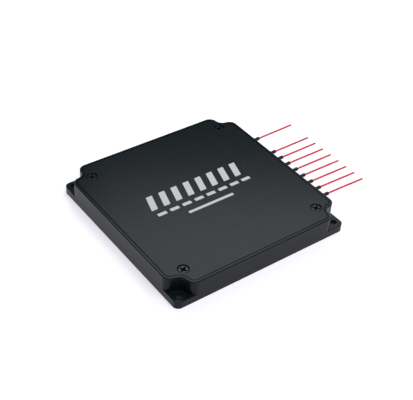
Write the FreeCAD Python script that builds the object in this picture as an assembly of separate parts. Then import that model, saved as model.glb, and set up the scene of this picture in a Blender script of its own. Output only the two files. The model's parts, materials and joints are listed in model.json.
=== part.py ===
"""Fibre splitter module: one fibre in and eight out, in a milled aluminium housing.

All sizes are in millimetres. The origin is the centre of the housing's underside,
+Z points up through the lid, and +X points out of the wall that the tubes leave by.
"""

import FreeCAD, Part
import math
import os

from FreeCAD import Vector

# Housing, milled from one block
housing_length = 100.0  # along X
housing_width = 100.0  # along Y
housing_height = 11.7
floor_thickness = 2.0
wall_thickness = 3.0
rim_width = 1.3  # what is left of the wall outside the lid
edge_break = 0.3  # chamfer on the rim
cutter_radius = 3.0  # inner corners of the cavity

# Mounting ears, one at the foot of each scooped corner
ear_height = 4.0
ear_corner_radius = 3.0
ear_edge_break = 0.15
mount_inset = 3.7  # from the hole's centre to both sides
mount_hole_diameter = 3.2
scoop_radius = 4.0  # round the mounting hole, for the screw's head
shoulder_radius = 4.3  # outer round that leads from a side into the scoop

# Lid and its four countersunk screws
lid_thickness = 2.0
lid_gap = 0.3
lid_edge_break = 0.15
screw_inset = 10.5  # from the screw's centre to both sides
screw_length = 6.0
screw_diameter = 2.5
screw_tip_break = 0.3
screw_clearance = 0.1  # round the shank, in the lid and in the housing
screw_block_wall = 4.0  # metal beside each screw's centre
head_diameter = 4.6
head_edge = 0.15
head_sink = 0.4  # from the lid's top down to the head
head_clearance = 0.1
recess_width = 3.8  # the cross recess, tip to tip
recess_arm = 1.0
recess_root = 1.1  # width of the recess at its bottom
recess_depth = 1.6
screw_turns = (40.0, 37.0, 24.0, 61.0)  # where each cross came to rest, in degrees

# Ports: one input, a gap, then the outputs in a row, centred on the wall
output_count = 8
output_pitch = 6.0
input_gap = 14.0
port_clearance = 0.05

# Boots, the rubber strain reliefs pushed into the ports
boot_neck_diameter = 3.0
boot_collar_diameter = 3.6
boot_collar_thickness = 0.7
boot_root_diameter = 2.7
boot_waist_diameter = 1.7
boot_bead_diameter = 1.9
boot_tip_diameter = 1.4
boot_bead_length = 1.8
boot_bead_rise = 0.4  # length over which the waist swells into the bead
boot_bead_fall = 0.5  # length over which the bead rounds off to the tip
boot_reach = 8.9  # from the wall to the tip
boot_bore_clearance = 0.1

# Tubes, the loose jackets round the fibres
tube_diameter = 0.9
tube_reach = 32.2  # from the wall to the free end
tube_bend = 10.0  # from the wall to where a tube starts to splay
tube_splay = 1.03  # the free ends' spacing over the ports'
tube_droop = 0.2
tube_ease = 0.45  # share of the shorter leg that a bend takes up
tube_hole_clearance = 0.05

# Blocks that hold the tubes' inner ends
block_setback = 12.0  # from the wall's inner face
block_margin = 2.5  # from the outermost hole to the block's side
tube_seat = 4.0  # depth of a tube's hole
input_block_length = 8.0
fanout_length = 14.0
fanout_front = 6.0  # length that has the full width
fanout_rear_width = 8.0
block_round = 1.0

# Bare input fibre and output ribbon
fibre_diameter = 0.25
ribbon_width = 2.1
ribbon_thickness = 0.3
ribbon_seat = 3.0
fibre_clearance = 0.1
loop_gap = 2.5  # from the ribbon's loop to the far wall

# Splitter: glass blocks butted to a waveguide chip, in a steel sleeve on a pad
train_size = 2.5  # square section of the blocks and the chip
input_glass_length = 4.0
chip_length = 10.0
output_glass_length = 6.0
glass_step = 2.0  # length of the ledge that a fibre lies on
train_clearance = 0.35  # thickness of the soft bed, and room all round
sleeve_wall = 0.4
sleeve_end_room = 5.0
seal_length = 3.0
sleeve_offset = 9.0  # from the input block to the sleeve
pad_thickness = 0.6

# Places that follow from the sizes above
half_length = housing_length / 2
half_width = housing_width / 2
ledge_level = housing_height - lid_thickness
inner_wall = half_length - wall_thickness
sleeve_size = train_size + 2 * (train_clearance + sleeve_wall)
fibre_level = floor_thickness + pad_thickness + sleeve_size / 2
input_y = ((output_count - 1) * output_pitch + input_gap) / 2
output_ys = [input_y - input_gap - n * output_pitch for n in range(output_count)]
ribbon_y = (output_ys[0] + output_ys[-1]) / 2
block_front = inner_wall - block_setback
tube_start = block_front - tube_seat
sleeve_front = block_front - input_block_length - sleeve_offset
train_front = sleeve_front - sleeve_end_room
chip_front = train_front - input_glass_length
chip_rear = chip_front - chip_length
train_rear = chip_rear - output_glass_length
sleeve_rear = train_rear - sleeve_end_room
level_tolerance = 1e-3  # how flat an edge that lies level must be


def prism(outline, bottom, top):
    """Solid over a closed outline drawn at z = 0, between two levels."""
    face = Part.Face(outline)
    face.translate(Vector(0, 0, bottom))
    return face.extrude(Vector(0, 0, top - bottom))


def block(x_range, y_range, z_range):
    """Plain box between three pairs of limits."""
    low = Vector(x_range[0], y_range[0], z_range[0])
    size = Vector(x_range[1], y_range[1], z_range[1]) - low
    return Part.makeBox(size.x, size.y, size.z, low)


def closed_polygon(points):
    """Closed outline at z = 0 through (x, y) points."""
    corners = [Vector(x, y, 0) for x, y in points]
    return Part.makePolygon(corners + corners[:1])


def vertical_edges(shape):
    """Straight edges that run along Z."""
    return [edge for edge in shape.Edges if edge.BoundBox.ZLength > level_tolerance]


def edges_at(shape, level):
    """Edges that lie wholly in one horizontal plane."""
    flat = [edge for edge in shape.Edges if edge.BoundBox.ZLength < level_tolerance]
    return [edge for edge in flat if abs(edge.BoundBox.ZMin - level) < level_tolerance]


def hole_along_x(x_range, y, z, diameter):
    """Round bore along X."""
    length = x_range[1] - x_range[0]
    return Part.makeCylinder(diameter / 2, length, Vector(x_range[0], y, z), Vector(1, 0, 0))


def corner_places(inset):
    """The four points that lie the same distance in from both sides."""
    x = half_length - inset
    y = half_width - inset
    return [(x, y), (x, -y), (-x, -y), (-x, y)]


def scooped_corner(inset):
    """One corner's arcs, each as three points, counted from the corner itself.

    A scoop is cut round the mounting hole, and a convex shoulder leads into it from
    each side, tangent to both. The whole corner is drawn inset by one distance.
    """
    shoulder = shoulder_radius - inset
    scoop = scoop_radius + inset
    centre = Vector(-mount_inset, -mount_inset, 0)
    lift = mount_inset - shoulder_radius
    along = math.sqrt((scoop_radius + shoulder_radius) ** 2 - lift ** 2)
    pivot = Vector(-mount_inset - along, -shoulder_radius, 0)
    to_scoop = (centre - pivot).normalize()
    start = pivot + Vector(0, shoulder, 0)
    meet = pivot + to_scoop * shoulder
    middle = pivot + (to_scoop + Vector(0, 1, 0)).normalize() * shoulder
    inmost = centre - Vector(1, 1, 0).normalize() * scoop
    swap = [Vector(point.y, point.x, 0) for point in (meet, middle, start)]
    return [(start, middle, meet), (meet, inmost, swap[0]), tuple(swap)]


def scooped_outline(inset):
    """The housing's outline seen from above, inset by one distance all round."""
    edges = []
    ends = []
    for side_x, side_y in ((1, 1), (1, -1), (-1, -1), (-1, 1)):
        arcs = scooped_corner(inset)
        if side_x * side_y < 0:
            arcs = [arc[::-1] for arc in arcs[::-1]]
        placed = [
            [Vector(side_x * (half_length + p.x), side_y * (half_width + p.y), 0) for p in arc]
            for arc in arcs
        ]
        edges.append([Part.Arc(*arc).toShape() for arc in placed])
        ends.append((placed[0][0], placed[-1][-1]))
    loop = []
    for number, corner in enumerate(edges):
        after = ends[(number + 1) % len(ends)][0]
        loop += corner + [Part.makeLine(ends[number][1], after)]
    return Part.Wire(loop)


def cavity():
    """Milled hollow: a rectangle that leaves a block of metal round each lid screw."""
    x, y = inner_wall, half_width - wall_thickness
    step = screw_inset + screw_block_wall
    near_x, near_y = half_length - step, half_width - step
    outline = closed_polygon(
        [
            (x, near_y), (near_x, near_y), (near_x, y),
            (-near_x, y), (-near_x, near_y), (-x, near_y),
            (-x, -near_y), (-near_x, -near_y), (-near_x, -y),
            (near_x, -y), (near_x, -near_y), (x, -near_y),
        ]
    )
    hollow = prism(outline, floor_thickness, ledge_level)
    return hollow.makeFillet(cutter_radius, vertical_edges(hollow))


def ear_plate():
    """Plate that fills the corners' feet, with its own rounded corners."""
    plate = block((-half_length, half_length), (-half_width, half_width), (0, ear_height))
    plate = plate.makeFillet(ear_corner_radius, vertical_edges(plate))
    return plate.makeChamfer(ear_edge_break, edges_at(plate, ear_height))


def base_housing():
    """Housing with its ears, lid pocket, cavity, ports and screw holes."""
    body = prism(scooped_outline(0), 0, housing_height)
    body = body.makeChamfer(edge_break, edges_at(body, housing_height))
    body = body.fuse(ear_plate()).removeSplitter()
    cuts = [prism(scooped_outline(rim_width), ledge_level, housing_height + 1), cavity()]
    for x, y in corner_places(mount_inset):
        cuts.append(Part.makeCylinder(mount_hole_diameter / 2, ear_height + 2, Vector(x, y, -1)))
    tapped = screw_diameter / 2 + screw_clearance
    for x, y in corner_places(screw_inset):
        foot = Vector(x, y, floor_thickness)
        cuts.append(Part.makeCylinder(tapped, ledge_level - floor_thickness + 1, foot))
    port = boot_neck_diameter + 2 * port_clearance
    for y in [input_y] + output_ys:
        cuts.append(hole_along_x((inner_wall - 1, half_length + 1), y, fibre_level, port))
    return body.cut(cuts).removeSplitter()


def lid():
    """Flat lid that drops into the rim, countersunk for its screws."""
    plate = prism(scooped_outline(rim_width + lid_gap), ledge_level, housing_height)
    plate = plate.makeChamfer(lid_edge_break, edges_at(plate, housing_height))
    shank = screw_diameter / 2 + screw_clearance
    mouth = head_diameter / 2 + head_sink + head_edge + head_clearance
    cuts = []
    for x, y in corner_places(screw_inset):
        cuts.append(Part.makeCylinder(shank, lid_thickness + 2, Vector(x, y, ledge_level - 1)))
        top = Vector(x, y, housing_height)
        cuts.append(Part.makeCone(mouth, shank, mouth - shank, top, Vector(0, 0, -1)))
    return plate.cut(cuts)


def cross_recess(top):
    """Cross for the driver, tapering to its bottom."""
    half, arm = recess_width / 2, recess_arm / 2
    depth = (top - recess_depth, top)
    cross = block((-half, half), (-arm, arm), depth).fuse(block((-arm, arm), (-half, half), depth))
    taper = Part.makeCone(half, recess_root / 2, recess_depth, Vector(0, 0, top), Vector(0, 0, -1))
    return cross.common(taper)


def lid_screw(place, turn):
    """Countersunk screw, sunk a little below the lid, its cross turned by an angle."""
    top = housing_height - head_sink
    tip = housing_height - screw_length
    head, shank = head_diameter / 2, screw_diameter / 2
    throat = top - head_edge - (head - shank)
    bevel = screw_tip_break
    outline = [(0, tip), (shank - bevel, tip), (shank, tip + bevel), (shank, throat)]
    outline += [(head, top - head_edge), (head, top), (0, top)]
    corners = [Vector(r, 0, z) for r, z in outline]
    profile = Part.Face(Part.makePolygon(corners + corners[:1]))
    screw = profile.revolve(Vector(0, 0, 0), Vector(0, 0, 1), 360).cut(cross_recess(top))
    screw.rotate(Vector(0, 0, 0), Vector(0, 0, 1), turn)
    screw.translate(Vector(place[0], place[1], 0))
    return screw


def lid_screws():
    """The four identical screws, as separate solids."""
    return Part.makeCompound(
        [lid_screw(place, turn) for place, turn in zip(corner_places(screw_inset), screw_turns)]
    )


def boot(y):
    """Strain relief turned about its tube: neck in the port, collar, taper and bead."""
    tip = half_length + boot_reach
    bead = tip - boot_bead_length
    face = half_length + boot_collar_thickness
    bore = tube_diameter / 2 + boot_bore_clearance
    outline = [
        (inner_wall, bore), (inner_wall, boot_neck_diameter / 2),
        (half_length, boot_neck_diameter / 2), (half_length, boot_collar_diameter / 2),
        (face, boot_collar_diameter / 2), (face, boot_root_diameter / 2),
        (bead, boot_waist_diameter / 2), (bead + boot_bead_rise, boot_bead_diameter / 2),
        (tip - boot_bead_fall, boot_bead_diameter / 2), (tip, boot_tip_diameter / 2), (tip, bore),
    ]
    corners = [Vector(x, y, fibre_level + r) for x, r in outline]
    profile = Part.Face(Part.makePolygon(corners + corners[:1]))
    return profile.revolve(Vector(0, y, fibre_level), Vector(1, 0, 0), 360)


def tube_route(y):
    """A tube's three points: its seat, the start of its splay, and its free end."""
    return [
        Vector(tube_start, y, fibre_level),
        Vector(half_length + tube_bend, y, fibre_level),
        Vector(half_length + tube_reach, y * tube_splay, fibre_level - tube_droop),
    ]


def eased_path(points):
    """Straight runs joined by tangent arcs, and the arcs' radii."""
    edges = []
    radii = []
    start = points[0]
    for before, point, after in zip(points, points[1:], points[2:]):
        inward = (point - before).normalize()
        outward = (after - point).normalize()
        setback = tube_ease * min((point - before).Length, (after - point).Length)
        half_turn = inward.getAngle(outward) / 2
        radius = setback / math.tan(half_turn)
        first = point - inward * setback
        last = point + outward * setback
        bulge = radius / math.cos(half_turn) - radius
        middle = point + (outward - inward).normalize() * bulge
        edges += [Part.LineSegment(start, first).toShape(), Part.Arc(first, middle, last).toShape()]
        radii.append(radius)
        start = last
    edges.append(Part.LineSegment(start, points[-1]).toShape())
    return Part.Wire(edges), radii


def swept_tube(path, start, heading, diameter):
    """Round solid along a path."""
    ring = Part.Wire(Part.makeCircle(diameter / 2, start, heading))
    return path.makePipeShell([ring], True, False)


def tube(y):
    """One loose tube along its route."""
    points = tube_route(y)
    path, radii = eased_path(points)
    solid = swept_tube(path, points[0], Vector(1, 0, 0), tube_diameter)
    share = solid.Volume / (math.pi * tube_diameter ** 2 / 4 * path.Length)
    print(f"tube at y {y:g}: length {path.Length:.2f}, radius {radii[0]:.0f}, volume {share:.5f}")
    return solid


def input_block():
    """Holder for the input tube's inner end, with a fine hole for its bare fibre."""
    rear = block_front - input_block_length
    sides = (input_y - block_margin, input_y + block_margin)
    holder = block((rear, block_front), sides, (floor_thickness, 2 * fibre_level - floor_thickness))
    holder = holder.makeFillet(block_round, vertical_edges(holder))
    seat = tube_diameter + 2 * tube_hole_clearance
    fine = fibre_diameter + 2 * fibre_clearance
    tube_hole = hole_along_x((tube_start, block_front + 1), input_y, fibre_level, seat)
    fibre_hole = hole_along_x((rear - 1, tube_start + 1), input_y, fibre_level, fine)
    return holder.cut([tube_hole, fibre_hole])


def fanout_block():
    """Wedge that spreads the ribbon's fibres to the output tubes."""
    rear = block_front - fanout_length
    full = block_front - fanout_front
    high, low = output_ys[0] + block_margin, output_ys[-1] - block_margin
    near = fanout_rear_width / 2
    outline = closed_polygon(
        [
            (block_front, low), (block_front, high), (full, high),
            (rear, ribbon_y + near), (rear, ribbon_y - near), (full, low),
        ]
    )
    wedge = prism(outline, floor_thickness, 2 * fibre_level - floor_thickness)
    wedge = wedge.makeFillet(block_round, vertical_edges(wedge))
    seat = tube_diameter + 2 * tube_hole_clearance
    cuts = [hole_along_x((tube_start, block_front + 1), y, fibre_level, seat) for y in output_ys]
    cuts.append(ribbon_space((rear - 1, rear + ribbon_seat), ribbon_y))
    return wedge.cut(cuts)


def ribbon_space(x_range, y):
    """Slot that the ribbon passes through."""
    side = ribbon_width / 2 + fibre_clearance
    half = ribbon_thickness / 2 + fibre_clearance
    return block(x_range, (y - side, y + side), (fibre_level - half, fibre_level + half))


def input_fibre():
    """Bare fibre from the input tube's end, straight to the first glass block."""
    end = train_front - glass_step
    return hole_along_x((end, tube_start), input_y, fibre_level, fibre_diameter)


def output_ribbon():
    """Flat ribbon: back from the last glass block, half a turn, then out to the fan-out."""
    radius = (input_y - ribbon_y) / 2
    centre = Vector(-inner_wall + loop_gap + radius, (input_y + ribbon_y) / 2, fibre_level)
    start = Vector(train_rear + glass_step, input_y, fibre_level)
    into = Vector(centre.x, input_y, fibre_level)
    far = centre - Vector(radius, 0, 0)
    out = Vector(centre.x, ribbon_y, fibre_level)
    end = Vector(block_front - fanout_length + ribbon_seat, ribbon_y, fibre_level)
    path = Part.Wire(
        [
            Part.LineSegment(start, into).toShape(),
            Part.Arc(into, far, out).toShape(),
            Part.LineSegment(out, end).toShape(),
        ]
    )
    side = Vector(0, ribbon_width / 2, 0)
    up = Vector(0, 0, ribbon_thickness / 2)
    corners = [start + side + up, start - side + up, start - side - up, start + side - up]
    return path.makePipeShell([Part.makePolygon(corners + corners[:1])], True, False)


def train_piece(x_range):
    """Square length of the splitter's glass train, centred on the fibre."""
    half = train_size / 2
    levels = (fibre_level - half, fibre_level + half)
    return block(x_range, (input_y - half, input_y + half), levels)


def glass_block(x_range, ledge_range, thickness):
    """Glass block, cut down at one end to a ledge that the fibre or ribbon lies on."""
    side = train_size / 2
    levels = (fibre_level - thickness / 2, fibre_level + side)
    above = block(ledge_range, (input_y - side, input_y + side), levels)
    return train_piece(x_range).cut(above)


def input_glass():
    """Single-fibre block at the front of the train."""
    ledge = (train_front - glass_step, train_front)
    return glass_block((chip_front, train_front), ledge, fibre_diameter)


def splitter_chip():
    """Waveguide chip between the two glass blocks."""
    return train_piece((chip_rear, chip_front))


def output_glass():
    """Ribbon block at the rear of the train."""
    ledge = (train_rear, train_rear + glass_step)
    return glass_block((train_rear, chip_rear), ledge, ribbon_thickness)


def chip_bed():
    """Soft strip that carries the train inside the sleeve."""
    half = train_size / 2
    top = fibre_level - half
    sides = (input_y - half, input_y + half)
    return block((train_rear, train_front), sides, (top - train_clearance, top))


def sleeve_section(x_range, half):
    """Square bar about the fibre."""
    levels = (fibre_level - half, fibre_level + half)
    return block(x_range, (input_y - half, input_y + half), levels)


def splitter_sleeve():
    """Square steel sleeve, open at both ends."""
    outside = sleeve_section((sleeve_rear, sleeve_front), sleeve_size / 2)
    long_edges = [edge for edge in outside.Edges if edge.BoundBox.XLength > level_tolerance]
    outside = outside.makeFillet(sleeve_wall, long_edges)
    inside = sleeve_section((sleeve_rear - 1, sleeve_front + 1), sleeve_size / 2 - sleeve_wall)
    return outside.cut(inside)


def input_seal():
    """Soft plug round the fibre at the sleeve's front end."""
    plug = sleeve_section((sleeve_front - seal_length, sleeve_front), sleeve_size / 2 - sleeve_wall)
    hole = fibre_diameter + 2 * fibre_clearance
    return plug.cut(hole_along_x((sleeve_rear, sleeve_front + 1), input_y, fibre_level, hole))


def output_seal():
    """Soft plug round the ribbon at the sleeve's rear end."""
    plug = sleeve_section((sleeve_rear, sleeve_rear + seal_length), sleeve_size / 2 - sleeve_wall)
    return plug.cut(ribbon_space((sleeve_rear - 1, sleeve_front), input_y))


def sleeve_pad():
    """Adhesive pad between the sleeve and the housing's floor."""
    half = sleeve_size / 2
    levels = (floor_thickness, floor_thickness + pad_thickness)
    return block((sleeve_rear, sleeve_front), (input_y - half, input_y + half), levels)


def all_parts():
    """Every piece by its node's name."""
    parts = {
        "base_housing": base_housing(),
        "lid": lid(),
        "lid_screws": lid_screws(),
        "input_boot": boot(input_y),
        "input_tube": tube(input_y),
        "input_block": input_block(),
        "fanout_block": fanout_block(),
        "input_fibre": input_fibre(),
        "output_ribbon": output_ribbon(),
        "input_glass": input_glass(),
        "splitter_chip": splitter_chip(),
        "output_glass": output_glass(),
        "chip_bed": chip_bed(),
        "splitter_sleeve": splitter_sleeve(),
        "input_seal": input_seal(),
        "output_seal": output_seal(),
        "sleeve_pad": sleeve_pad(),
    }
    for number, y in enumerate(output_ys, start=1):
        parts[f"output_boot_{number}"] = boot(y)
        parts[f"output_tube_{number}"] = tube(y)
    return parts


os.makedirs("parts", exist_ok=True)
for name, shape in all_parts().items():
    shape.exportStep(f"parts/{name}.step")
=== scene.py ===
"""Looks of the fibre splitter module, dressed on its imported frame. Lengths are in metres."""

import json
import math

import bpy
from mathutils import Matrix, Quaternion, Vector


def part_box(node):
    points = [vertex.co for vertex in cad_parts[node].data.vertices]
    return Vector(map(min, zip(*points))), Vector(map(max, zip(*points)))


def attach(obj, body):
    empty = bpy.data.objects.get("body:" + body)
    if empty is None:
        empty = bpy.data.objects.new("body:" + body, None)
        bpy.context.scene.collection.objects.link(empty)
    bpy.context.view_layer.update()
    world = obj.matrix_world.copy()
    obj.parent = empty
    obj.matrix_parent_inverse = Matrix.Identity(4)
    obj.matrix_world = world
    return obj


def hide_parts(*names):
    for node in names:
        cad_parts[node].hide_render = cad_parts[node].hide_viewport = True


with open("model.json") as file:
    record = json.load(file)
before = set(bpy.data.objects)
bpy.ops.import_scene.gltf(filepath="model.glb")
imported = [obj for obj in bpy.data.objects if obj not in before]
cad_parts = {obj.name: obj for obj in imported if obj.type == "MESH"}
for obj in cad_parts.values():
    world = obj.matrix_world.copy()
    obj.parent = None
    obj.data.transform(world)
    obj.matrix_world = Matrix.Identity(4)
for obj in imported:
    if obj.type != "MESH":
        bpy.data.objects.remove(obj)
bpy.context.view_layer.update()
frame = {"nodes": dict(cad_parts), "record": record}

MM = 0.001

# Camera: where it stands round the origin, how it is turned, and how far its aim is shifted
camera_azimuth = math.radians(-38.573)
camera_elevation = math.radians(39.286)
camera_roll = math.radians(3.829)
camera_distance = 0.456966
camera_aim = (0.002372, 0.004972)  # right and up, across the line of sight
camera_lens = 79.67  # millimetres
camera_sensor = 36.0  # millimetres

# Places from the frame
wall_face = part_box("base_housing")[1].x
lid_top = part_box("lid")[1].z
head_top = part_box("lid_screws")[1].z
output_count = sum(name.startswith("output_tube_") for name in frame["nodes"])
line_names = ["input"] + [f"output_{number}" for number in range(1, output_count + 1)]

# Tubes and their fibres
tube_radius = 0.45 * MM
tube_bore = 0.25 * MM
fibre_radius = 0.125 * MM
fibre_tip = 0.02 * MM  # radius that closes a fibre's ends
fibre_setback = 0.3 * MM  # from the tube's cut end
tube_bend = 10.0 * MM  # from the wall to where a tube starts to splay
tube_splay = 1.03  # the free ends' spacing over the ports'
tube_droop = 0.2 * MM
tube_sides = 24
fibre_sides = 12

# Boots: radii of the bore, the neck in the wall, the taper's two ends and the bead at the tip
boot_bore = 0.5 * MM
boot_neck = 1.5 * MM
boot_root = 1.3 * MM
boot_waist = 0.85 * MM
boot_bead = 0.95 * MM
collar_width = 0.7 * MM
collar_round = 0.25 * MM
collar_fillet = 0.3 * MM
bead_length = 1.8 * MM
bead_round = 0.45 * MM
mouth_bevel = (0.05 * MM, 0.02 * MM)  # along and across, where the bore leaves the tip
boot_sides = 40

# Generic print on the lid: sizes are across and up, places are from the lid's middle
ink_depth = 0.02 * MM
ink_corner = 0.3 * MM
print_middle = -0.9 * MM
print_pitch = 7.2 * MM
block_size = (3.5 * MM, 10.0 * MM)
block_row = 6.0 * MM
block_lean = 0.3
dash_size = (5.0 * MM, 2.0 * MM)
dash_row = -3.1 * MM
bar_size = (26.6 * MM, 1.6 * MM)
bar_place = (-1.5 * MM, -9.2 * MM)

# Floor: a paper sweep, as (radius, height), and its glow, as (distance, strength)
floor_profile = [(0.6, 0.0), (1.5, 0.0), (2.4, 0.02), (3.2, 0.16), (3.8, 0.45), (4.1, 0.95)]
floor_sides = 96
floor_gap = 0.01 * MM  # under the object
glow_near = (0.15, 0.53)
glow_far = (0.8, 1.0)

sharp_angle = math.radians(35)  # edges that turn more stay sharp
painted_shade_share = 0.1  # share of colour and shine left as painted shade at the foot of a gap or recess


# ---------------------------------------------------------------- materials


class Finish:
    """A Principled material, with helpers that vary its colour, roughness and surface."""

    def __init__(self, name, colour, roughness, metallic=0.0, specular=0.5):
        self.material = bpy.data.materials.new(name)
        self.material.use_nodes = True
        self.tree = self.material.node_tree
        self.shader = self.tree.nodes["Principled BSDF"]
        self.colour = colour
        self.roughness = roughness
        self.shader.inputs["Base Color"].default_value = (*colour, 1)
        self.shader.inputs["Roughness"].default_value = roughness
        self.shader.inputs["Metallic"].default_value = metallic
        self.shader.inputs["Specular IOR Level"].default_value = specular
        self.place = self.tree.nodes.new("ShaderNodeTexCoord").outputs["Object"]
        self.surface = None

    def noise(self, size, detail=3.0, stretch=(1, 1, 1)):
        """Noise with features of about one size, in metres, which may be drawn out along an axis."""
        mapping = self.tree.nodes.new("ShaderNodeMapping")
        mapping.inputs["Scale"].default_value = stretch
        texture = self.tree.nodes.new("ShaderNodeTexNoise")
        texture.inputs["Scale"].default_value = 1 / size
        texture.inputs["Detail"].default_value = detail
        self.tree.links.new(self.place, mapping.inputs["Vector"])
        self.tree.links.new(mapping.outputs["Vector"], texture.inputs["Vector"])
        return texture.outputs["Fac"]

    def ramp(self, value, low, high):
        """Colour ramp between two colours over the middle of a noise."""
        node = self.tree.nodes.new("ShaderNodeValToRGB")
        node.color_ramp.elements[0].position = 0.3
        node.color_ramp.elements[1].position = 0.7
        node.color_ramp.elements[0].color = (*low, 1)
        node.color_ramp.elements[1].color = (*high, 1)
        self.tree.links.new(value, node.inputs["Fac"])
        return node.outputs["Color"]

    def mottle(self, size, share, tint=(1, 1, 1), **noise):
        """Base colour that drifts up and down by a share, and towards a tint."""
        low = [channel * (1 - share) for channel in self.colour]
        high = [channel * (1 + share) * hue for channel, hue in zip(self.colour, tint)]
        colour = self.ramp(self.noise(size, **noise), low, high)
        self.tree.links.new(colour, self.shader.inputs["Base Color"])
        return self

    def patchy(self, size, spread, **noise):
        """Roughness that drifts up and down by a spread."""
        low = (self.roughness - spread,) * 3
        high = (self.roughness + spread,) * 3
        level = self.ramp(self.noise(size, **noise), low, high)
        self.tree.links.new(level, self.shader.inputs["Roughness"])
        return self

    def grain(self, size, depth, strength=0.5, **noise):
        """Fine relief of a given feature size and depth, added to any relief before it."""
        bump = self.tree.nodes.new("ShaderNodeBump")
        bump.inputs["Strength"].default_value = strength
        bump.inputs["Distance"].default_value = depth
        self.tree.links.new(self.noise(size, **noise), bump.inputs["Height"])
        if self.surface:
            self.tree.links.new(self.surface, bump.inputs["Normal"])
        self.surface = bump.outputs["Normal"]
        self.tree.links.new(self.surface, self.shader.inputs["Normal"])
        return self

    def paint_shade_below(self, level, depth):
        """Paints shade on what lies below a level, darker and darker over a depth, as shade falls in
        a gap or a recess.
        """
        height = self.tree.nodes.new("ShaderNodeSeparateXYZ")
        # painted shade: colour and shine scale down towards the foot of the depth
        fade = self.tree.nodes.new("ShaderNodeMapRange")
        fade.inputs["From Min"].default_value = level - depth
        fade.inputs["From Max"].default_value = level
        fade.inputs["To Min"].default_value = painted_shade_share
        self.tree.links.new(self.place, height.inputs["Vector"])
        self.tree.links.new(height.outputs["Z"], fade.inputs["Value"])
        shine = self.tree.nodes.new("ShaderNodeMath")
        shine.operation = "MULTIPLY"
        shine.inputs[1].default_value = self.shader.inputs["Specular IOR Level"].default_value
        self.tree.links.new(fade.outputs["Result"], shine.inputs[0])
        self.tree.links.new(shine.outputs["Value"], self.shader.inputs["Specular IOR Level"])
        tone = self.tree.nodes.new("ShaderNodeVectorMath")
        tone.operation = "SCALE"
        base = self.shader.inputs["Base Color"]
        self.tree.links.new(base.links[0].from_socket, tone.inputs[0])
        self.tree.links.new(fade.outputs["Result"], tone.inputs["Scale"])
        self.tree.links.new(tone.outputs["Vector"], base)
        return self


def anodised(name, colour, sheen):
    """Black anodised aluminium, finely blasted, whose reflections are tinted by its sheen."""
    finish = Finish(name, colour, roughness=0.23, specular=0.16)
    finish.shader.inputs["Specular Tint"].default_value = (*sheen, 1)
    finish.mottle(9 * MM, 0.12, tint=(1.05, 1.0, 1.06)).patchy(0.4 * MM, 0.045)
    return finish.grain(0.12 * MM, 0.01 * MM, strength=0.3)


def housing_metal():
    """The housing's metal, which reflects a little more red and blue than green."""
    return anodised("housing_metal", (0.0062, 0.0120, 0.0142), (0.97, 0.89, 1.03)).material


def lid_metal():
    """The lid's metal, with painted shade in the gap round the lid and in the countersinks."""
    finish = anodised("lid_metal", (0.0044, 0.0098, 0.0108), (1.03, 1.01, 1.01))
    # painted shade below the lid's top, in its gap and countersinks
    return finish.paint_shade_below(lid_top, 0.22 * MM).material


def black_oxide():
    """Blackened steel of the screws, with painted shade in their recesses."""
    finish = Finish("screw_metal", (0.012, 0.014, 0.014), roughness=0.26, specular=0.26)
    finish.mottle(0.8 * MM, 0.2, tint=(1.1, 1.0, 0.95)).patchy(0.5 * MM, 0.05)
    finish.grain(0.1 * MM, 0.01 * MM, strength=0.3)
    # painted shade below the heads' top, in the screws' recesses
    return finish.paint_shade_below(head_top, 0.3 * MM).material


def boot_rubber():
    """Matt moulded black rubber."""
    finish = Finish("boot_rubber", (0.012, 0.012, 0.013), roughness=0.55, specular=0.4)
    finish.mottle(0.6 * MM, 0.2).patchy(0.4 * MM, 0.06)
    return finish.grain(0.08 * MM, 0.01 * MM, strength=0.4).material


def tube_jacket():
    """Smooth red jacket, faintly clouded and with drawing lines along it."""
    finish = Finish("tube_jacket", (0.94, 0.014, 0.028), roughness=0.34, specular=0.4)
    finish.mottle(1.5 * MM, 0.05, tint=(1.0, 1.3, 1.3), stretch=(0.2, 1, 1)).patchy(1 * MM, 0.04)
    return finish.grain(0.12 * MM, 0.006 * MM, strength=0.3, stretch=(0.05, 1, 1)).material


def white_ink():
    """Screen-printed white, with the mesh's fine texture."""
    finish = Finish("print_ink", (0.76, 0.80, 0.76), roughness=0.55, specular=0.3)
    finish.mottle(0.5 * MM, 0.05).patchy(0.4 * MM, 0.05)
    return finish.grain(0.15 * MM, 0.008 * MM, strength=0.4).material


def plain(name, colour, roughness, size, metallic=0.0):
    """Finish of an inner piece, with its variation at one size."""
    finish = Finish(name, colour, roughness, metallic)
    finish.mottle(size, 0.1).patchy(size / 2, 0.05)
    return finish.grain(size / 8, size / 100).material


def glass():
    """Polished glass of the fibre blocks."""
    finish = Finish("glass_blocks", (0.86, 0.92, 0.93), roughness=0.06)
    finish.shader.inputs["Transmission Weight"].default_value = 0.9
    return finish.mottle(1.5 * MM, 0.03).grain(0.4 * MM, 0.002 * MM, strength=0.2).material


finishes = {
    "housing_metal": housing_metal(),
    "lid_metal": lid_metal(),
    "screw_metal": black_oxide(),
    "boot_rubber": boot_rubber(),
    "tube_jacket": tube_jacket(),
    "block_plastic": plain("block_plastic", (0.035, 0.035, 0.04), 0.5, 1.2 * MM),
    "fibre_coating": plain("fibre_coating", (0.75, 0.78, 0.8), 0.25, 1.0 * MM),
    "glass_blocks": glass(),
    "chip_silicon": plain("chip_silicon", (0.28, 0.3, 0.34), 0.15, 2.0 * MM, metallic=0.6),
    "soft_seal": plain("soft_seal", (0.7, 0.7, 0.68), 0.6, 0.8 * MM),
    "sleeve_steel": plain("sleeve_steel", (0.6, 0.6, 0.6), 0.3, 1.5 * MM, metallic=1.0),
    "adhesive_pad": plain("adhesive_pad", (0.35, 0.35, 0.35), 0.8, 0.8 * MM),
}


def dress_nodes():
    """Gives each CAD node the finish of its slot in the record."""
    for part in frame["record"]["subparts"]:
        data = frame["nodes"][part["node"]].data
        data.materials.clear()
        data.materials.append(finishes[part["material_slot"]])


# ---------------------------------------------------------------- meshes


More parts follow.
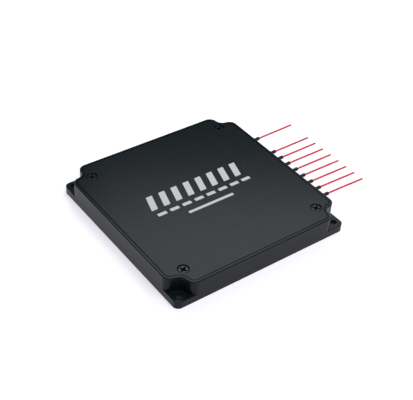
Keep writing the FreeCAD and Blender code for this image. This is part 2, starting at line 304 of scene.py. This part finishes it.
def new_piece(name, points, faces, finish):
    """Adds a mesh piece that rides on the body, smooth apart from its sharp edges."""
    mesh = bpy.data.meshes.new(name)
    mesh.from_pydata(points, [], faces)
    mesh.materials.append(finish)
    mesh.shade_smooth()
    mesh.set_sharp_from_angle(angle=sharp_angle)
    piece = bpy.data.objects.new(name, mesh)
    bpy.context.scene.collection.objects.link(piece)
    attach(piece, "root")
    return piece


def arc(centre, radius, start, end, steps=5):
    """Points on an arc, by angle in degrees."""
    angles = [math.radians(start + (end - start) * step / steps) for step in range(steps + 1)]
    return [(centre[0] + radius * math.cos(a), centre[1] + radius * math.sin(a)) for a in angles]


def skin_between(low, high, count):
    """Faces between two closed loops, by the numbers of their first points."""
    faces = []
    for step in range(count):
        after = (step + 1) % count
        faces.append((low + step, low + after, high + after, high + step))
    return faces


def rings_along(line, profile, sides):
    """Closed skin over rings set along a line that runs mostly along X.

    The profile is a closed loop of (x, radius); each ring is centred on the line.
    """
    points = []
    for x, radius in profile:
        centre, turn = place_on(line, x)
        for step in range(sides):
            angle = 2 * math.pi * step / sides
            spoke = Vector((0, radius * math.cos(angle), radius * math.sin(angle)))
            points.append(centre + turn @ spoke)
    faces = []
    for ring in range(len(profile)):
        faces += skin_between(ring * sides, (ring + 1) % len(profile) * sides, sides)
    return points, faces


def place_on(line, x):
    """The line's point at an x, and the turn that takes the X axis to its direction there."""
    for start, end in zip(line, line[1:]):
        if x <= end.x:
            break
    share = (x - start.x) / (end.x - start.x)
    turn = Vector((1, 0, 0)).rotation_difference(end - start).to_matrix()
    return start.lerp(end, share), turn


def smooth_line(name, route):
    """Points along the smooth spline that a route's points shape."""
    data = bpy.data.curves.new(name, "CURVE")
    data.dimensions = "3D"
    data.resolution_u = 16
    spline = data.splines.new("NURBS")
    spline.points.add(len(route) - 1)
    for point, place in zip(spline.points, route):
        point.co = (*place, 1)
    spline.order_u = 3
    spline.use_endpoint_u = True
    guide = bpy.data.objects.new(name, data)
    mesh = bpy.data.meshes.new_from_object(guide)
    line = [vertex.co.copy() for vertex in mesh.vertices]
    bpy.data.objects.remove(guide)
    bpy.data.meshes.remove(mesh)
    return line


# ---------------------------------------------------------------- tubes and boots


def named(kind, line_name):
    """A line's node of one kind, such as output_boot_3."""
    side, *number = line_name.split("_")
    return "_".join([side, kind, *number])


def tube_route(line_name):
    """A tube's three points, those of the CAD: its seat, the start of its splay, its free end."""
    low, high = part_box(named("boot", line_name))
    y, level = (low.y + high.y) / 2, (low.z + high.z) / 2
    start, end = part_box(named("tube", line_name))
    return [
        Vector((start.x, y, level)),
        Vector((wall_face + tube_bend, y, level)),
        Vector((end.x, y * tube_splay, level - tube_droop)),
    ]


def tube(line_name, line):
    """The hollow red tube, cut square."""
    inside = line[0].x
    stations = [point.x for point in line[1:-1]]
    end = line[-1].x
    outer = [(x, tube_radius) for x in [inside, *stations, end]]
    inner = [(x, tube_bore) for x in [end, *stations[::-1], inside]]
    node = named("tube", line_name)
    points, faces = rings_along(line, outer + inner, tube_sides)
    piece = new_piece(node + "_jacket", points, faces, finishes["tube_jacket"])
    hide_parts(node)
    return piece


def fibre(line_name, line):
    """The coated fibre inside a tube, seen at the tube's cut end."""
    start, end = line[0].x, line[-1].x - fibre_setback
    stations = [point.x for point in line[1:-1]]
    side = [(x, fibre_radius) for x in [start, *stations, end]]
    profile = [(start, fibre_tip), *side, (end, fibre_tip)]
    points, faces = rings_along(line, profile, fibre_sides)
    name = "tube_fibre_" + line_name
    return new_piece(name, points, faces, finishes["fibre_coating"])


def boot_profile(node):
    """Closed loop of (x, radius): neck, rounded collar, taper and rounded bead, then the bore."""
    low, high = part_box(node)
    collar = (high.y - low.y) / 2
    tip = high.x
    collar_face = wall_face + collar_width
    bead_start = tip - bead_length
    profile = [(low.x, boot_bore), (low.x, boot_neck), (wall_face, boot_neck), (wall_face, collar)]
    profile += arc((collar_face - collar_round, collar - collar_round), collar_round, 90, 0)
    profile += arc((collar_face + collar_fillet, boot_root + collar_fillet), collar_fillet, 180, 270)
    for past, rise in ((-0.2, 0.0), (0.15, 0.02), (0.4, 0.1)):  # millimetres, waist to bead
        profile.append((bead_start + past * MM, boot_waist + rise * MM))
    profile += arc((tip - bead_round, boot_bead - bead_round), bead_round, 90, 0, steps=6)[:-1]
    profile += [(tip, boot_bore + mouth_bevel[1]), (tip - mouth_bevel[0], boot_bore)]
    return profile


def boot(line_name, line):
    """The rubber strain relief, which bends with its tube."""
    node = named("boot", line_name)
    points, faces = rings_along(line, boot_profile(node), boot_sides)
    piece = new_piece(node + "_rubber", points, faces, finishes["boot_rubber"])
    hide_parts(node)
    return piece


def add_line(line_name):
    """One tube with its fibre and boot."""
    route = tube_route(line_name)
    line = smooth_line(line_name, route)
    jacket = tube(line_name, line)
    others = [boot(line_name, line), fibre(line_name, line)]


# ---------------------------------------------------------------- print on the lid


def add_print():
    """Generic print: a row of slanted blocks, a row of dashes, and a bar."""
    points, faces = [], []
    for number in range(output_count):
        x = print_middle + (number - (output_count - 1) / 2) * print_pitch
        add_plate(points, faces, rounded((x, block_row), block_size, lean=block_lean))
        add_plate(points, faces, rounded((x, dash_row), dash_size))
    add_plate(points, faces, rounded(bar_place, bar_size))
    new_piece("lid_print", points, faces, white_ink())


def rounded(place, size, lean=0.0):
    """Outline of a rectangle with round corners, anticlockwise, which may lean to the right."""
    outline = []
    for quarter, (side_x, side_y) in enumerate(((1, -1), (1, 1), (-1, 1), (-1, -1))):
        corner = (side_x * (size[0] / 2 - ink_corner), side_y * (size[1] / 2 - ink_corner))
        start = 90 * (quarter - 1)
        for x, y in arc(corner, ink_corner, start, start + 90):
            outline.append((place[0] + x + lean * y, place[1] + y))
    return outline


def add_plate(points, faces, outline):
    """Adds a film of ink that fills an outline."""
    first, count = len(points), len(outline)
    points += [(x, y, level) for level in (lid_top, lid_top + ink_depth) for x, y in outline]
    faces.append([first + step for step in range(count)][::-1])
    faces.append([first + count + step for step in range(count)])
    faces += skin_between(first, first + count, count)


# ---------------------------------------------------------------- studio


def add_camera():
    """Camera at the working view."""
    back = Vector(
        (
            math.sin(camera_azimuth) * math.cos(camera_elevation),
            -math.cos(camera_azimuth) * math.cos(camera_elevation),
            math.sin(camera_elevation),
        )
    )
    level = Vector((0, 0, 1)).cross(back).normalized()
    turn = Matrix.Rotation(camera_roll, 3, back)
    right = turn @ level
    up = turn @ back.cross(level)
    data = bpy.data.cameras.new("camera")
    data.lens = camera_lens
    data.sensor_width = camera_sensor
    camera = bpy.data.objects.new("camera", data)
    place = back * camera_distance + right * camera_aim[0] + up * camera_aim[1]
    camera.matrix_world = Matrix.Translation(place) @ Matrix((right, up, back)).transposed().to_4x4()
    bpy.context.scene.collection.objects.link(camera)
    bpy.context.scene.camera = camera


def add_floor():
    """White paper sweep: flat under the object, rising to a low edge far away."""
    points = [(0, 0, 0)]
    for radius, height in floor_profile:
        for step in range(floor_sides):
            angle = 2 * math.pi * step / floor_sides
            points.append((radius * math.cos(angle), radius * math.sin(angle), height))
    faces = [(0, 1 + step, 1 + (step + 1) % floor_sides) for step in range(floor_sides)]
    for ring in range(len(floor_profile) - 1):
        near = 1 + ring * floor_sides
        faces += skin_between(near + floor_sides, near, floor_sides)
    mesh = bpy.data.meshes.new("floor")
    mesh.from_pydata(points, [], faces)
    mesh.shade_smooth()
    mesh.materials.append(floor_material())
    floor = bpy.data.objects.new("floor", mesh)
    floor.location.z = -floor_gap
    bpy.context.scene.collection.objects.link(floor)


def floor_material():
    """White paper that glows where the camera or a reflection sees it, up to white far away."""
    material = bpy.data.materials.new("floor_paper")
    material.use_nodes = True
    tree = material.node_tree
    shader = tree.nodes["Principled BSDF"]
    shader.inputs["Base Color"].default_value = (0.8, 0.795, 0.8, 1)
    shader.inputs["Roughness"].default_value = 0.9
    shader.inputs["Specular IOR Level"].default_value = 0.0
    shader.inputs["Emission Color"].default_value = (1.0, 0.985, 1.075, 1)
    rays = tree.nodes.new("ShaderNodeLightPath")
    seen = rays.outputs["Is Camera Ray"]
    for other in ("Is Glossy Ray", "Is Transmission Ray"):
        either = tree.nodes.new("ShaderNodeMath")
        either.operation = "MAXIMUM"
        tree.links.new(seen, either.inputs[0])
        tree.links.new(rays.outputs[other], either.inputs[1])
        seen = either.outputs[0]
    place = tree.nodes.new("ShaderNodeTexCoord")
    distance = tree.nodes.new("ShaderNodeVectorMath")
    distance.operation = "LENGTH"
    tree.links.new(place.outputs["Object"], distance.inputs[0])
    glow = tree.nodes.new("ShaderNodeMapRange")
    glow.inputs["From Min"].default_value, glow.inputs["To Min"].default_value = glow_near
    glow.inputs["From Max"].default_value, glow.inputs["To Max"].default_value = glow_far
    tree.links.new(distance.outputs["Value"], glow.inputs["Value"])
    shown = tree.nodes.new("ShaderNodeMath")
    shown.operation = "MULTIPLY"
    tree.links.new(glow.outputs["Result"], shown.inputs[0])
    tree.links.new(seen, shown.inputs[1])
    tree.links.new(shown.outputs[0], shader.inputs["Emission Strength"])
    return material


def add_softbox(name, azimuth, elevation, distance, size, power, colour, roll=0.0):
    """Rectangular area lamp that faces the origin, placed and rolled by angles in degrees."""
    data = bpy.data.lights.new(name, "AREA")
    data.shape = "RECTANGLE"
    data.size, data.size_y = size
    data.energy = power
    data.color = colour
    turn, rise = math.radians(azimuth), math.radians(elevation)
    aim = Vector(
        (math.cos(turn) * math.cos(rise), math.sin(turn) * math.cos(rise), math.sin(rise))
    )
    lamp = bpy.data.objects.new(name, data)
    lamp.location = aim * distance
    lamp.rotation_mode = "QUATERNION"
    facing = (-aim).to_track_quat("-Z", "Y")
    lamp.rotation_quaternion = facing @ Quaternion((0, 0, 1), math.radians(roll))
    bpy.context.scene.collection.objects.link(lamp)


def add_world():
    """Dim plain room above the sweep."""
    world = bpy.data.worlds.new("room")
    world.use_nodes = True
    world.node_tree.nodes["Background"].inputs["Color"].default_value = (0.05, 0.05, 0.054, 1)
    bpy.context.scene.world = world


add_camera()
for line_name in line_names:
    add_line(line_name)
dress_nodes()
add_print()
add_floor()
add_world()
add_softbox(
    "back_box", azimuth=46.2, elevation=54.2, distance=0.66, size=(0.33, 0.35), power=1.16,
    colour=(0.95, 1.0, 1.07), roll=9.2,
)
add_softbox(
    "key_box", azimuth=274.0, elevation=68.0, distance=0.95, size=(0.8, 0.8), power=5.6,
    colour=(1.0, 0.985, 1.0),
)
bpy.context.scene.view_settings.view_transform = "Standard"
